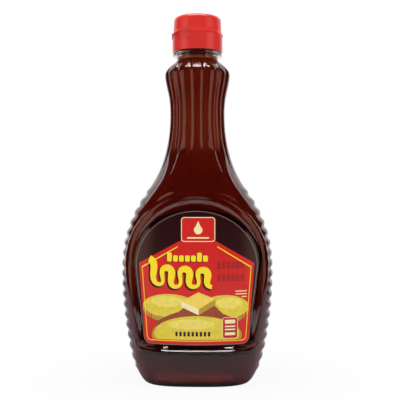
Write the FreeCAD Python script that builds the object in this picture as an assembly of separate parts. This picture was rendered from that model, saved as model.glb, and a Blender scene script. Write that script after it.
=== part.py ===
"""Squeeze bottle of syrup with a two-part flip-top cap and labels on both broad faces.

The frame's origin lies on the table under the neck's axis. +Z is up, -Y is the front with the
main label and +X is to the right of someone who faces the front. All sizes are millimetres.
"""
import FreeCAD, Part
import math
import os
from FreeCAD import Vector

# ---- Body: an oval barrel that narrows to a round neck -------------------------------------
BODY_WIDTH = 100.8          # across the ribbed sides, to the middle of the ribs
BODY_DEPTH = 67.8           # front to back
BODY_HEIGHT = 148.0         # from the table to the foot of the neck, where the section is round
WALL = 0.55                 # plastic, beyond the deepest relief of each region
PANEL_WALL = 0.75           # plastic behind each label
BASE_WALL = 1.2             # plastic under the syrup
SYRUP_CLEARANCE = 0.15      # between the wall and the syrup

# Outline of the body: share of BODY_HEIGHT, share of the half width, share of the half depth.
BODY_OUTLINE = (
    (0.000, 0.755, 0.905),
    (0.113, 0.862, 0.956),
    (0.250, 0.943, 0.990),
    (0.485, 1.000, 1.000),
    (0.622, 0.970, 1.000),
    (0.723, 0.884, 0.994),
    (0.807, 0.763, 0.972),
    (0.907, 0.573, 0.870),
)
BODY_SQUARENESS = 2.6       # exponent of the oval: 2 is an ellipse, more has flatter faces
FOOT_SQUARENESS = 3.0       # exponent of the oval at the table

# ---- Foot -----------------------------------------------------------------------------------
HEEL_HEIGHT = 16.0          # height of the rounding into the table
HEEL_INSET = 4.0            # from the side to the standing ring
STANDING_RING = 3.5         # width of the flat ring that carries the bottle
PUSH_UP_HEIGHT = 4.0        # raised floor inside the standing ring
PUSH_UP_SLOPE = 7.0         # horizontal run of the wall up to that floor

# ---- Neck -----------------------------------------------------------------------------------
NECK_FOOT_RADIUS = 22.9     # at BODY_HEIGHT
WAIST_RADIUS = 18.6
FLARE_RADIUS = 19.6         # halfway from the waist up to the bulge
WAIST_RISE = 28.5           # from the neck's foot to its waist
BULGE_RADIUS = 22.1         # the collar above the waist
BULGE_RISE = 28.5           # from the waist to the bulge
THROAT_RADIUS = 13.8        # just under the support ring
THROAT_RISE = 10.2          # from the bulge to the throat
THROAT_LENGTH = 2.7         # straight stretch of the throat

# ---- Reliefs of the blown skin ----------------------------------------------------------------
RIB_COUNT = 18              # level ribs on each side face
RIB_PITCH = 6.91
RIB_DEPTH = 1.3             # from peak to valley
RIB_MEAN = 0.6              # share of RIB_DEPTH from a valley to the ribs' mean line
RIB_SOFTNESS = 0.25         # rounding of the valleys
FIRST_RIB_Z = 9.8           # middle of the lowest rib
GROOVE_COUNT = 14           # upright grooves round the neck
GROOVE_DEPTH = 0.9
GROOVE_FOOT_DROP = 6.7      # how far below BODY_HEIGHT the grooves end in points
GROOVE_FADE = 27.0          # over which a groove reaches its full depth
GROOVE_LEAD = 9.5           # how far below its point a groove's deepening starts
GROOVE_HEAD_RISE = 9.2      # how far above the bulge the grooves end
GROOVE_SOFTNESS = 0.06      # rounding of a groove's edges, as a share of its depth
PANEL_CURVE = 86.0          # radius of the upright cylinder that each label panel lies on
PANEL_DEPTH = 1.8           # of the panel below the middle of the broad face
PANEL_LEDGE = 3.0           # width of the sloping step round the panel

# ---- Outlines of the label and of the panel round it, seen from the front ------------------------
LABEL_HALF_WIDTH = 39.5
LABEL_ARCH = 35.5           # height of the arch above its springing
LABEL_SPRING_Z = 78.2       # height where the arch starts
LABEL_BOTTOM_Z = 28.0
LABEL_CORNER = 5.0
SIDE_TAPER = 0.11           # how much label and panel narrow, for each millimetre down
PANEL_SIDE_MARGIN = 4.3     # of the panel beyond the label
PANEL_ARCH_MARGIN = 6.8
PANEL_SPRING_MARGIN = 0.8
PANEL_BOTTOM_MARGIN = 3.8
PANEL_CORNER_MARGIN = 2.0
LABEL_FILM = 0.2
LABEL_CLEARANCE = 0.2       # between the panel and the film

# ---- Neck finish --------------------------------------------------------------------------------
BORE_RADIUS = 10.85
FINISH_RADIUS = 12.6        # outside of the mouth's tube
RING_RADIUS = 16.5          # support ring
RING_THICKNESS = 1.8
FINISH_HEIGHT = 10.5        # from the support ring to the mouth
SNAP_BEAD = 1.0             # how far the bead that holds the cap stands out
SNAP_BEAD_DROP = 4.2        # middle of that bead below the mouth
SYRUP_LEVEL = 3.3           # surface of the syrup above the support ring

# ---- Flip-top cap -------------------------------------------------------------------------------
CAP_GAP = 1.0               # between the support ring and the cap's skirt
CAP_BASE_HEIGHT = 11.4
CAP_WALL = 1.4
DECK = 1.2                  # plate over the mouth
COLLAR_WALL = 1.0           # tube under the deck that snaps over the bead
COLLAR_LIFT = 1.5           # of that tube's end above the skirt's
COLLAR_GAP = 0.63           # between that tube and the skirt
SNAP_CLEARANCE = 0.3        # between the cap's collar and the finish
SEAM_WIDTH = 0.5            # shadow gap between cap base and lid
SEAM_HEIGHT = 0.4
ORIFICE_RADIUS = 3.4
SPOUT_WALL = 1.4
SPOUT_HEIGHT = 4.8          # of the spout above the deck
LID_HEIGHT = 12.3
LID_STEP = 0.68             # of the lid's side inside the cap base's, above the flared rim
LID_DRAFT = 0.45            # narrowing from there to the top
LID_FLARE = 0.5             # of the rim beyond the lid's side
LID_FLARE_HEIGHT = 2.7
LID_EDGE = 2.8              # rounding of the top edge
LID_WALL = 1.6
SEAL_WALL = 0.8             # ring inside the lid that closes round the spout
SEAL_CLEARANCE = 0.4
SEAL_DEPTH = 2.2            # how far that ring reaches over the spout

# ---- Butterfly hinge ----------------------------------------------------------------------------
HINGE_AZIMUTH = 65.0        # degrees from the front towards -X
HINGE_BULGE = 0.52          # how far the wings stand out of the cap
HINGE_PROUD = 0.05          # of the hinge's axis beyond the wings
WING_SPAN = 12.6            # of each wing, sideways from the hinge's knot
WING_END = 3.2              # height of a wing's outer end above or below the seam
WING_KNOT = 0.6             # the same at the knot
WING_CURVE = 1.7            # exponent of the trumpet edge
WING_GAP = 0.15             # from the seam to each wing
WING_RIM = 0.7              # width of the raised rim round each wing
WING_RECESS = 0.3
BEAD_RADIUS = 0.5           # round hinge bead on the axis
BEAD_LENGTH = 4.0
BEAD_CLEARANCE = 0.25
LIP_REACH = 0.9             # thumb lip opposite the hinge
LIP_HALF_ANGLE = 11.0
LIP_HEIGHT = 1.5

# ---- Sizes that follow --------------------------------------------------------------------------
PANEL_HALF_WIDTH = LABEL_HALF_WIDTH + PANEL_SIDE_MARGIN
PANEL_ARCH = LABEL_ARCH + PANEL_ARCH_MARGIN
PANEL_SPRING_Z = LABEL_SPRING_Z + PANEL_SPRING_MARGIN
PANEL_BOTTOM_Z = LABEL_BOTTOM_Z - PANEL_BOTTOM_MARGIN
PANEL_CORNER = LABEL_CORNER + PANEL_CORNER_MARGIN
COLLAR_INNER = FINISH_RADIUS + SNAP_BEAD + SNAP_CLEARANCE
COLLAR_OUTER = COLLAR_INNER + COLLAR_WALL
CAP_RADIUS = COLLAR_OUTER + COLLAR_GAP + CAP_WALL
LID_RADIUS = CAP_RADIUS - LID_STEP
LID_TOP_RADIUS = LID_RADIUS - LID_DRAFT
WAIST_Z = BODY_HEIGHT + WAIST_RISE
BULGE_Z = WAIST_Z + BULGE_RISE
THROAT_Z = BULGE_Z + THROAT_RISE
RING_Z = THROAT_Z + THROAT_LENGTH
FINISH_Z = RING_Z + RING_THICKNESS
MOUTH_Z = FINISH_Z + FINISH_HEIGHT
SYRUP_Z = FINISH_Z + SYRUP_LEVEL
CAP_Z = FINISH_Z + CAP_GAP
SEAM_Z = CAP_Z + CAP_BASE_HEIGHT
HINGE_RADIUS = CAP_RADIUS + HINGE_BULGE + HINGE_PROUD

COLUMNS = 10 * GROOVE_COUNT         # of the outer skin's net, round the bottle
LINING_COLUMNS = 5 * GROOVE_COUNT   # of the nets of the cavity and the syrup
BAND_ROWS = 16                      # rows of a net in one face, at most


def ease(value, low, high):
    """Smooth step from 0 at low to 1 at high."""
    share = min(1.0, max(0.0, (value - low) / (high - low)))
    return share * share * (3.0 - 2.0 * share)


def smooth_curve(stations):
    """Cubic spline through (z, value) stations, free at the start and level at the end."""
    z = [station[0] for station in stations]
    v = [station[1] for station in stations]
    last = len(z) - 1
    diagonal = [2.0]
    right = [1.0]
    target = [3.0 * (v[1] - v[0]) / (z[1] - z[0])]
    for i in range(1, last):
        before, after = z[i] - z[i - 1], z[i + 1] - z[i]
        slope_before = (v[i] - v[i - 1]) / before
        slope_after = (v[i + 1] - v[i]) / after
        lower = after / (before + after)
        factor = lower / diagonal[-1]
        diagonal.append(2.0 - factor * right[-1])
        right.append(1.0 - lower)
        target.append(3.0 * (lower * slope_before + (1.0 - lower) * slope_after)
                      - factor * target[-1])
    slopes = [0.0] * (last + 1)
    for i in range(last - 1, -1, -1):
        slopes[i] = (target[i] - right[i] * slopes[i + 1]) / diagonal[i]

    def curve(height):
        height = min(max(height, z[0]), z[-1])
        i = max(k for k in range(last) if z[k] <= height)
        span = z[i + 1] - z[i]
        t = (height - z[i]) / span
        return (v[i] * (1 + 2 * t) * (1 - t) ** 2 + span * slopes[i] * t * (1 - t) ** 2
                + v[i + 1] * t * t * (3 - 2 * t) + span * slopes[i + 1] * t * t * (t - 1))

    return curve


def body_curve(column, half_size):
    """Half size of the bottle against height, from one column of the outline table."""
    stations = [(row[0] * BODY_HEIGHT, row[column] * half_size) for row in BODY_OUTLINE]
    stations += [
        (BODY_HEIGHT, NECK_FOOT_RADIUS),
        (WAIST_Z, WAIST_RADIUS),
        ((WAIST_Z + BULGE_Z) / 2, FLARE_RADIUS),
        (BULGE_Z, BULGE_RADIUS),
    ]
    return smooth_curve(stations)


width_curve = body_curve(1, BODY_WIDTH / 2)
depth_curve = body_curve(2, BODY_DEPTH / 2)


def half_sizes(z):
    """Half width and half depth of the plain bottle at a height."""
    if z <= BULGE_Z:
        return width_curve(z), depth_curve(z)
    share = min(1.0, (z - BULGE_Z) / THROAT_RISE)
    radius = THROAT_RADIUS + (BULGE_RADIUS - THROAT_RADIUS) * (1.0 - share * share) ** 1.45
    return radius, radius


def squareness(z):
    """Exponent of the oval section at a height."""
    neck = ease(z, 0.6 * BODY_HEIGHT, 1.05 * BODY_HEIGHT)
    foot = 1.0 - ease(z, 0.0, 0.2 * BODY_HEIGHT)
    return BODY_SQUARENESS + (2.0 - BODY_SQUARENESS) * neck + (FOOT_SQUARENESS - BODY_SQUARENESS) * foot


def oval_radius(angle, half_width, half_depth, exponent):
    """Distance from the axis to a superellipse."""
    across = (abs(math.cos(angle)) / half_width) ** exponent
    along = (abs(math.sin(angle)) / half_depth) ** exponent
    return (across + along) ** (-1.0 / exponent)


def panel_radius(angle):
    """Distance from the axis to the upright cylinder of the label panel."""
    front = BODY_DEPTH / 2 - PANEL_DEPTH
    centre = PANEL_CURVE - front
    toward = abs(math.sin(angle)) * centre
    return math.sqrt(toward * toward + PANEL_CURVE ** 2 - centre ** 2) - toward


def inside_panel(x, z):
    """Distance from the panel's outline, positive inside it."""
    x = abs(x)
    if z > PANEL_SPRING_Z:
        rise = (z - PANEL_SPRING_Z) / PANEL_ARCH
        return (1.0 - math.hypot(x / PANEL_HALF_WIDTH, rise)) * PANEL_ARCH
    side = PANEL_HALF_WIDTH - SIDE_TAPER * (PANEL_SPRING_Z - z) - x
    floor = z - PANEL_BOTTOM_Z
    if side < PANEL_CORNER and floor < PANEL_CORNER:
        return PANEL_CORNER - math.hypot(PANEL_CORNER - side, PANEL_CORNER - floor)
    return min(side, floor)


def rib_height(z):
    """Height of the ribs above their mean line: round lobes with tight valleys."""
    peak = math.sqrt(1.0 + RIB_SOFTNESS ** 2) - RIB_SOFTNESS
    phase = math.cos(math.pi * (z - FIRST_RIB_Z) / RIB_PITCH)
    lobe = (math.sqrt(phase * phase + RIB_SOFTNESS ** 2) - RIB_SOFTNESS) / peak
    top = FIRST_RIB_Z + (RIB_COUNT - 0.5) * RIB_PITCH
    bottom = FIRST_RIB_Z - 0.5 * RIB_PITCH
    fade = ease(z, bottom, bottom + 0.6 * RIB_PITCH) * (1.0 - ease(z, top - 0.6 * RIB_PITCH, top))
    return RIB_DEPTH * (lobe - RIB_MEAN) * fade


def groove_depth(angle, z):
    """Depth of the neck's grooves, which run out in points at both ends."""
    wave = (0.5 - 0.5 * math.cos(GROOVE_COUNT * (angle + math.pi / 2))) ** 2
    foot_z = BODY_HEIGHT - GROOVE_FOOT_DROP
    rise = ease(z, foot_z - GROOVE_LEAD, foot_z + GROOVE_FADE)
    fall = 1.0 - ease(z, BULGE_Z, BULGE_Z + GROOVE_HEAD_RISE)
    cut = wave - 1.0 + min(rise, fall)
    rounded = 0.5 * (cut + math.hypot(cut, GROOVE_SOFTNESS))
    full = min(1.0, 20.0 * rise * fall)
    return GROOVE_DEPTH * rounded * full


def skin_radius(angle, z, inset):
    """Distance from the axis to the outside of the bottle."""
    half_width, half_depth = half_sizes(z)
    plain = oval_radius(angle, half_width - inset, half_depth - inset, squareness(z))
    sideness = 1.0 - ease(plain * abs(math.sin(angle)) / half_depth, 0.25, 0.62)
    ribbed = plain + rib_height(z) * sideness
    panel = min(ribbed, panel_radius(angle))
    share = ease(inside_panel(panel_radius(angle) * math.cos(angle), z), 0.0, PANEL_LEDGE)
    return ribbed + (panel - ribbed) * share - groove_depth(angle, z)


def lining_radius(angle, z, inset):
    """Distance from the axis to the smooth inside of the wall."""
    half_width, half_depth = half_sizes(z)
    relief = WALL + inset
    relief += RIB_MEAN * RIB_DEPTH * (1.0 - ease(abs(math.sin(angle)), 0.5, 0.9)) * (
        1.0 - ease(z, BODY_HEIGHT - RIB_PITCH, BODY_HEIGHT))
    relief += GROOVE_DEPTH * ease(z, BODY_HEIGHT - GROOVE_FOOT_DROP, BODY_HEIGHT + GROOVE_FADE)
    plain = oval_radius(angle, half_width - relief, half_depth - relief, squareness(z))
    panel = min(plain, panel_radius(angle) - PANEL_WALL)
    share = ease(inside_panel(panel_radius(angle) * math.cos(angle), z), -PANEL_LEDGE, PANEL_LEDGE)
    return plain + (panel - plain) * share


def syrup_radius(angle, z, inset):
    """Distance from the axis to the side of the syrup."""
    return lining_radius(angle, z, inset) - SYRUP_CLEARANCE


def push_up_rows(lift):
    """Rows of (height, inset) from the raised floor down to the standing ring.

    lift is how far the net lies above the outside of the bottle.
    """
    rows = []
    for step in range(7):
        share = step / 6
        rise = PUSH_UP_HEIGHT * (1.0 + math.cos(math.pi * share)) / 2
        inset = HEEL_INSET + STANDING_RING + PUSH_UP_SLOPE * (1.0 - share)
        rows.append((rise + lift, inset))
    return rows


def side_rows(lift, top, rib_step, neck_step, crown_step):
    """Rows of (height, inset) up the heel, the sides and the neck, with smoothly changing spacings."""
    rows = []
    for step in range(9):
        turn = math.pi / 2 * step / 9
        height = HEEL_HEIGHT * (1.0 - math.cos(turn)) + lift * (1.0 - math.sin(turn))
        rows.append((height, HEEL_INSET * (1.0 - math.sin(turn))))
    z = HEEL_HEIGHT
    ribs_end = FIRST_RIB_Z + RIB_COUNT * RIB_PITCH
    while z < top - 0.5 * crown_step:
        rows.append((z, 0.0))
        step = rib_step + (neck_step - rib_step) * ease(z, ribs_end, ribs_end + 12.0)
        z += step + (crown_step - step) * ease(z, BULGE_Z - 8.0, BULGE_Z)
    rows.append((top, 0.0))
    return rows


def cavity_rows(lift, top):
    """Rows of a net inside the wall: over the push-up, across the standing ring and up the sides."""
    middle = [(lift, HEEL_INSET + STANDING_RING / 2)]
    return push_up_rows(lift) + middle + side_rows(lift, top, RIB_PITCH / 2, 3.0, 1.3)


def fit_rows(points):
    """Poles of a clamped cubic spline that follows a list of rows of points."""
    inner = [[(8 * p - q - r) / 6 for p, q, r in zip(points[i], points[i - 1], points[i + 1])]
             for i in range(1, len(points) - 1)]
    first = [(2 * p + c) / 3 for p, c in zip(points[0], inner[0])]
    final = [(2 * p + c) / 3 for p, c in zip(points[-1], inner[-1])]
    return [points[0], first] + inner + [final, points[-1]]


def net_faces(rows, radius, columns):
    """Cubic spline surface through the rows of a radius function, as a stack of closed bands."""
    points = []
    for z, inset in rows:
        ring = []
        for k in range(columns):
            angle = math.pi / 2 + 2 * math.pi * k / columns
            reach = radius(angle, z, inset)
            ring.append(Vector(reach * math.cos(angle), reach * math.sin(angle), z))
        points.append([(8 * ring[k] - ring[k - 1] - ring[(k + 1) % columns]) / 6
                       for k in range(columns)])
    poles = fit_rows(points)
    surface = Part.BSplineSurface()
    knots_along = list(range(len(rows)))
    along = [4] + [1] * (len(rows) - 2) + [4]
    surface.buildFromPolesMultsKnots(poles, along, [1] * (columns + 1), knots_along,
                                     list(range(columns + 1)), False, True, 3, 3)
    last = len(rows) - 1
    count = math.ceil(last / BAND_ROWS)
    cuts = [round(last * band / count) for band in range(count + 1)]
    faces = []
    for start, end in zip(cuts, cuts[1:]):
        band = surface.copy()
        band.segment(start, end, 0, columns)
        faces.append(band.toShape())
    return faces


def rim(faces, z):
    """The closed edge at a height where a stack of bands ends."""
    for edge in faces[0].Edges + faces[-1].Edges:
        box = edge.BoundBox
        if abs(box.ZMin - z) < 1e-4 and abs(box.ZMax - z) < 1e-4:
            return edge
    raise ValueError("no edge at this height")


def flat_face(outer, *holes):
    """Level face inside one closed edge and outside others."""
    return Part.Face([Part.Wire(outer)] + [Part.Wire(hole) for hole in holes], "Part::FaceMakerBullseye")


def circle(radius, z):
    """Level circle about the bottle's axis."""
    return Part.makeCircle(radius, Vector(0, 0, z))


def turned_faces(points):
    """Faces made by turning an open outline of (radius, z) points about the bottle's axis."""
    outline = Part.makePolygon([Vector(r, 0, z) for r, z in points])
    return outline.revolve(Vector(0, 0, 0), Vector(0, 0, 1), 360).Faces


def closed_solid(faces):
    """Solid inside faces that meet along shared edges."""
    shell = Part.Shell(faces)
    shell.sewShape()
    solid = Part.Solid(shell)
    if solid.Volume < 0:
        solid.reverse()
    return solid


def make_bottle():
    """Blown bottle: patterned skin, smooth cavity, support ring and mouth."""
    outer = net_faces(side_rows(0.0, RING_Z, RIB_PITCH / 7, 2.0, 0.9), skin_radius, COLUMNS)
    push_up = net_faces(push_up_rows(0.0), skin_radius, COLUMNS)
    lining = net_faces(cavity_rows(BASE_WALL, RING_Z - WALL), lining_radius, LINING_COLUMNS)
    bead_z = MOUTH_Z - SNAP_BEAD_DROP
    finish = turned_faces([
        (RING_RADIUS, RING_Z),
        (RING_RADIUS, FINISH_Z),
        (FINISH_RADIUS, FINISH_Z),
        (FINISH_RADIUS, bead_z - SNAP_BEAD),
        (FINISH_RADIUS + SNAP_BEAD, bead_z),
        (FINISH_RADIUS, bead_z + 2 * SNAP_BEAD),
        (FINISH_RADIUS, MOUTH_Z),
        (BORE_RADIUS, MOUTH_Z),
        (BORE_RADIUS, RING_Z - WALL),
    ])
    level_faces = [
        flat_face(circle(RING_RADIUS, RING_Z), rim(outer, RING_Z)),
        flat_face(rim(lining, RING_Z - WALL), circle(BORE_RADIUS, RING_Z - WALL)),
        flat_face(rim(outer, 0.0), rim(push_up, 0.0)),
        flat_face(rim(push_up, PUSH_UP_HEIGHT)),
        flat_face(rim(lining, PUSH_UP_HEIGHT + BASE_WALL)),
    ]
    return closed_solid(outer + push_up + lining + finish + level_faces)


def make_syrup():
    """Syrup: fills the cavity and stands a little way up the mouth's bore."""
    top = RING_Z - WALL - SYRUP_CLEARANCE
    lift = BASE_WALL + SYRUP_CLEARANCE
    wall = net_faces(cavity_rows(lift, top), syrup_radius, LINING_COLUMNS)
    radius = BORE_RADIUS - SYRUP_CLEARANCE
    column = turned_faces([(radius, top), (radius, SYRUP_Z)])
    step = flat_face(rim(wall, top), circle(radius, top))
    surface = flat_face(circle(radius, SYRUP_Z))
    floor = flat_face(rim(wall, PUSH_UP_HEIGHT + lift))
    return closed_solid(wall + column + [step, surface, floor])


def label_outline():
    """Closed outline of the label in the XZ plane: an arch over sides that narrow downwards."""
    lean = math.atan(SIDE_TAPER * LABEL_ARCH / LABEL_HALF_WIDTH)
    spring = (LABEL_HALF_WIDTH * math.cos(lean), LABEL_SPRING_Z - LABEL_ARCH * math.sin(lean))
    foot = spring[0] - SIDE_TAPER * (spring[1] - LABEL_BOTTOM_Z)
    crown = Vector(0, 0, LABEL_SPRING_Z + LABEL_ARCH)
    ellipse = Part.Ellipse(Vector(LABEL_HALF_WIDTH, 0, LABEL_SPRING_Z), crown,
                           Vector(0, 0, LABEL_SPRING_Z))
    right, left = Vector(spring[0], 0, spring[1]), Vector(-spring[0], 0, spring[1])
    start, end = sorted((ellipse.parameter(right), ellipse.parameter(left)))
    arch = ellipse.toShape(start, end)
    if arch.BoundBox.ZMax < crown.z - 1.0:
        arch = ellipse.toShape(end, start + 2 * math.pi)
    corners = [Vector(foot, 0, LABEL_BOTTOM_Z), Vector(-foot, 0, LABEL_BOTTOM_Z)]
    lower = [Part.makeLine(right, corners[0]), Part.makeLine(*corners), Part.makeLine(corners[1], left)]
    return Part.Wire(Part.__sortEdges__([arch] + lower))


def make_label(side):
    """Film on a label panel: side is -1 for the front and 1 for the back."""
    centre_y = side * (BODY_DEPTH / 2 - PANEL_DEPTH - PANEL_CURVE)
    inner = PANEL_CURVE + LABEL_CLEARANCE
    base = Vector(0, centre_y, 0)
    film = Part.makeCylinder(inner + LABEL_FILM, MOUTH_Z, base).cut(
        Part.makeCylinder(inner, MOUTH_Z, base))
    block = Part.Face(label_outline()).extrude(Vector(0, side * BODY_DEPTH, 0))
    uprights = [edge for edge in block.Edges
                if edge.BoundBox.YLength > BODY_DEPTH / 2
                and abs(edge.BoundBox.ZMin - LABEL_BOTTOM_Z) < 0.01]
    return block.makeFillet(LABEL_CORNER, uprights).common(film)


def turned_solid(points):
    """Solid made by turning a closed outline of (radius, z) points about the bottle's axis."""
    outline = Part.makePolygon([Vector(r, 0, z) for r, z in points + points[:1]])
    return Part.Face(outline).revolve(Vector(0, 0, 0), Vector(0, 0, 1), 360)


def hinge_frame(shape):
    """Turn a shape from the front to the hinge's place."""
    shape = shape.copy()
    shape.rotate(Vector(0, 0, 0), Vector(0, 0, 1), -HINGE_AZIMUTH)
    return shape


def wing_block(side, inset):
    """Block whose outline, seen along the hinge's radius, is the pair of wings on one side of the seam."""
    def height(x):
        flare = (abs(x) / WING_SPAN) ** WING_CURVE
        return WING_KNOT + (WING_END - WING_KNOT) * flare - inset

    reach = WING_SPAN - inset
    start = WING_GAP + inset
    xs = [reach * k / 6 for k in range(-6, 7)]
    edge = [Vector(x, 0, SEAM_Z + side * max(height(x), start + 0.05)) for x in xs]
    curve = Part.BSplineCurve()
    curve.interpolate(edge)
    low_left = Vector(-reach, 0, SEAM_Z + side * start)
    low_right = Vector(reach, 0, SEAM_Z + side * start)
    outline = Part.Wire([curve.toShape(), Part.makeLine(edge[-1], low_right),
                         Part.makeLine(low_right, low_left), Part.makeLine(low_left, edge[0])])
    return Part.Face(outline).extrude(Vector(0, -2 * CAP_RADIUS, 0))


def annulus(inner, outer):
    """Upright tube about the bottle's axis that spans the whole cap."""
    start = Vector(0, 0, CAP_Z)
    height = CAP_BASE_HEIGHT + LID_HEIGHT
    return Part.makeCylinder(outer, height, start).cut(Part.makeCylinder(inner, height, start))


def hinge_wings(side, wall_radius):
    """Raised wings of the butterfly hinge: side is 1 for the lid and -1 for the cap base."""
    outer = CAP_RADIUS + HINGE_BULGE
    wings = annulus(wall_radius - 0.5 * CAP_WALL, outer).common(wing_block(side, 0.0))
    hollow = annulus(outer - WING_RECESS, outer + 1.0).common(wing_block(side, WING_RIM))
    return hinge_frame(wings.cut(hollow))


def hinge_bead(radius, length):
    """Round bar on the hinge's axis."""
    start = Vector(-length / 2, -HINGE_RADIUS, SEAM_Z)
    return hinge_frame(Part.makeCylinder(radius, length, start, Vector(1, 0, 0)))


def make_cap_base():
    """Lower half of the cap: skirt, deck, snap collar, spout and its half of the hinge."""
    skirt_inner = CAP_RADIUS - CAP_WALL
    bead_z = MOUTH_Z - SNAP_BEAD_DROP
    collar_z = CAP_Z + COLLAR_LIFT
    catch = FINISH_RADIUS + SNAP_CLEARANCE
    catch_z = bead_z - SNAP_BEAD - 2 * SNAP_CLEARANCE
    deck_z = MOUTH_Z + DECK
    spout = ORIFICE_RADIUS + SPOUT_WALL
    base = turned_solid([
        (CAP_RADIUS, CAP_Z),
        (CAP_RADIUS, SEAM_Z - SEAM_HEIGHT),
        (CAP_RADIUS - SEAM_WIDTH, SEAM_Z - SEAM_HEIGHT),
        (CAP_RADIUS - SEAM_WIDTH, SEAM_Z),
        (skirt_inner, SEAM_Z),
        (skirt_inner - 0.5, deck_z),
        (spout, deck_z),
        (spout, deck_z + SPOUT_HEIGHT),
        (ORIFICE_RADIUS, deck_z + SPOUT_HEIGHT),
        (ORIFICE_RADIUS, MOUTH_Z),
        (COLLAR_INNER, MOUTH_Z),
        (COLLAR_INNER, catch_z),
        (catch, catch_z - SNAP_BEAD),
        (COLLAR_INNER, collar_z),
        (COLLAR_OUTER, collar_z),
        (COLLAR_OUTER, MOUTH_Z),
        (skirt_inner, MOUTH_Z),
        (skirt_inner, CAP_Z),
    ])
    base = base.fuse(hinge_wings(-1, CAP_RADIUS))
    return base.fuse(hinge_bead(BEAD_RADIUS, BEAD_LENGTH)).removeSplitter()


def make_lid():
    """Upper half of the cap: tapered cup with a flared rim, a seal ring and a thumb lip."""
    top = SEAM_Z + LID_HEIGHT
    inner = LID_RADIUS - LID_WALL
    inner_top = LID_TOP_RADIUS - LID_WALL
    ceiling = top - LID_WALL
    seal_inner = ORIFICE_RADIUS + SPOUT_WALL + SEAL_CLEARANCE
    seal_outer = seal_inner + SEAL_WALL
    seal_z = MOUTH_Z + DECK + SPOUT_HEIGHT - SEAL_DEPTH
    lid = turned_solid([
        (LID_RADIUS + LID_FLARE, SEAM_Z),
        (LID_RADIUS, SEAM_Z + LID_FLARE_HEIGHT),
        (LID_TOP_RADIUS, top),
        (0, top),
        (0, ceiling),
        (seal_inner, ceiling),
        (seal_inner, seal_z),
        (seal_outer, seal_z),
        (seal_outer, ceiling),
        (inner_top, ceiling),
        (inner, SEAM_Z),
    ])
    crown = [edge for edge in lid.Edges
             if abs(edge.BoundBox.ZMin - top) < 0.01 and edge.BoundBox.XLength > LID_TOP_RADIUS]
    lid = lid.makeFillet(LID_EDGE, crown)
    relief = hinge_bead(BEAD_RADIUS + BEAD_CLEARANCE, BEAD_LENGTH + 2 * BEAD_CLEARANCE)
    lid = lid.fuse(hinge_wings(1, LID_RADIUS).cut(relief))
    lip = Part.makeCylinder(CAP_RADIUS + LIP_REACH, LIP_HEIGHT, Vector(0, 0, SEAM_Z), Vector(0, 0, 1),
                            2 * LIP_HALF_ANGLE)
    lip.rotate(Vector(0, 0, 0), Vector(0, 0, 1), 90 - LIP_HALF_ANGLE - HINGE_AZIMUTH)
    lip = lip.cut(Part.makeCylinder(LID_RADIUS - 0.5 * LID_WALL, LIP_HEIGHT, Vector(0, 0, SEAM_Z)))
    return lid.fuse(lip).removeSplitter()


os.makedirs("parts", exist_ok=True)
PARTS = {
    "bottle": make_bottle(),
    "syrup": make_syrup(),
    "label_front": make_label(-1),
    "label_back": make_label(1),
    "cap_base": make_cap_base(),
    "cap_lid": make_lid(),
}
for name, shape in PARTS.items():
    shape.exportStep(f"parts/{name}.step")
    print(name, shape.isValid(), len(shape.Solids), round(shape.Volume / 1000, 2), "ml")
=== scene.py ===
"""Dresses the syrup bottle: blown polyester shell, syrup, printed film labels and a flip-top cap.

Everything is laid out in millimetres in the frame of the CAD model and written to Blender in metres.
The front with the main label faces -Y, +X is to the right of someone who faces it and +Z is up.
"""
import logging
import math
from dataclasses import dataclass
from enum import Enum
from typing import Callable, Iterable, Sequence

import bmesh
import bpy
import numpy as np
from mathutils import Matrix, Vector


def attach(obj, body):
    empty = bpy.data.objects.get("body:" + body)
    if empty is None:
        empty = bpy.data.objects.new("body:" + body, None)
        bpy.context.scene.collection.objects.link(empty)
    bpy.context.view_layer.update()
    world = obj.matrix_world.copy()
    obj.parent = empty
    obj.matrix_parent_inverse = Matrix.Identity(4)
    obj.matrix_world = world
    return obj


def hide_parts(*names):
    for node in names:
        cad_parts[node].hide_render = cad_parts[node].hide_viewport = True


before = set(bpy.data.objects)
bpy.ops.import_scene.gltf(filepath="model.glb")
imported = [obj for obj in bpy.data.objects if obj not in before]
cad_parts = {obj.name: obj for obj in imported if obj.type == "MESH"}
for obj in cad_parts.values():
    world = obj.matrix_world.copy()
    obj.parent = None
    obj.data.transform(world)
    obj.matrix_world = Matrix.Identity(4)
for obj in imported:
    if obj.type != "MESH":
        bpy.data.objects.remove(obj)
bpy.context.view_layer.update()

LOG = logging.getLogger("syrup bottle")
MM = 0.001
Array = np.ndarray
WHITE = (1.0, 1.0, 1.0, 1.0)
CORNER_STEPS = 6
BLOCK_CORNER = 0.3
Point = tuple[float, float]
Triple = tuple[float, float, float]
Outline = list[Point]
Colour = tuple[float, float, float, float]
Socket = bpy.types.NodeSocket
Material = bpy.types.Material
Mesh = bpy.types.Mesh
Object = bpy.types.Object


# ---- Nodes and colours
def linear(code: str) -> Colour:
    """Turn an sRGB hex colour into the linear colour that sockets take.

    Args:
        code: six hex digits, red first.

    Returns:
        Linear red, green and blue, and an alpha of 1.
    """
    parts = [int(code[i:i + 2], 16) / 255 for i in (0, 2, 4)]
    red, green, blue = (c / 12.92 if c <= 0.04045 else ((c + 0.055) / 1.055) ** 2.4 for c in parts)
    return red, green, blue, 1.0


def scaled(code: str, *factors: float) -> Colour:
    """Linear colour of a hex code, its red, green and blue each scaled and kept to 1 at most."""
    red, green, blue = (min(1.0, part * factor) for part, factor in zip(linear(code), factors))
    return red, green, blue, 1.0


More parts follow.
